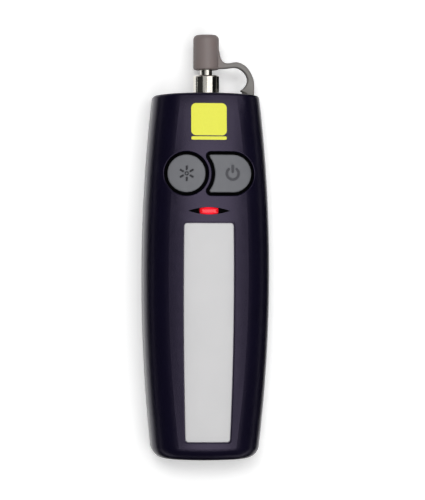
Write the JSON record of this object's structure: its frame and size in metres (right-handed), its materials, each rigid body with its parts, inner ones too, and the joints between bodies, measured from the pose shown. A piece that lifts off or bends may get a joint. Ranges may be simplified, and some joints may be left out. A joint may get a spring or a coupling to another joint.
{
  "type": "visual fault locator",
  "caption": "Hand-held battery light source that shows faults in optical fibre, with a ferrule port, a tethered dust cap, push buttons and a sliding battery door.",
  "frame": {"origin": "middle of the flat back, centred under the whole length with the dust cap on", "axes": "+Z out of the front face, +Y along the body towards the ferrule port, +X to the right seen from the front"},
  "size_m": [0.042, 0.1412, 0.0254],
  "materials": {
    "housing": "soft-touch satin",
    "plate": "satin silver-grey inlay",
    "sticker": "printed film",
    "button": "satin",
    "switch": "moulded",
    "lens": "clear red, polished",
    "led": "moulded",
    "board": "solder mask",
    "component": "moulded",
    "plated": "polished nickel plate",
    "ceramic": null,
    "brass": "turned",
    "optic": "polished",
    "steel": "zinc plated",
    "contact": "nickel-plated spring strip",
    "cap": "moulded matt",
    "cell": "plain film wrapper"
  },
  "bodies": {
    "root": {"front_shell": "housing", "rear_shell": "housing", "front_plate": "plate", "blank_sticker": "sticker", "mode_switch": "switch", "power_switch": "switch", "indicator_lens": "lens", "indicator_led": "led", "circuit_board": "board", "driver_chip": "switch", "board_parts": "component", "port_barrel": "plated", "split_sleeve": "ceramic", "port_nut": "brass", "diode_holder": "brass", "focusing_lens": "optic", "laser_diode": "steel", "laser_leads": "contact", "cap_strap": "cap", "battery_cell_left": "cell", "battery_cell_right": "cell", "foot_contact": "contact", "minus_contact": "contact", "plus_contact": "contact", "case_screws": "steel"},
    "cap": {"dust_cap": "cap"},
    "mode_key": {"mode_button": "button", "mode_stem": "switch"},
    "power_key": {"power_button": "button", "power_stem": "switch"},
    "door": {"battery_door": "housing"}
  },
  "joints": [
    {"name": "cap_swing", "type": "hinge", "parent": "root", "child": "cap", "pos_m": [0.0096, 0.06062, 0.0112], "axis": [0, 0, -1], "range_deg": [0, 150], "stiffness_Nm_per_rad": 0.002, "deforming": ["cap_strap"]},
    {"name": "mode_press", "type": "slide", "parent": "root", "child": "mode_key", "axis": [0, 0, -1], "range_m": [0, 0.0005], "stiffness_N_per_m": 1500},
    {"name": "power_press", "type": "slide", "parent": "root", "child": "power_key", "axis": [0, 0, -1], "range_m": [0, 0.0005], "stiffness_N_per_m": 1500},
    {"name": "door_slide", "type": "slide", "parent": "root", "child": "door", "axis": [0, -1, 0], "range_m": [0, 0.064]}
  ]
}
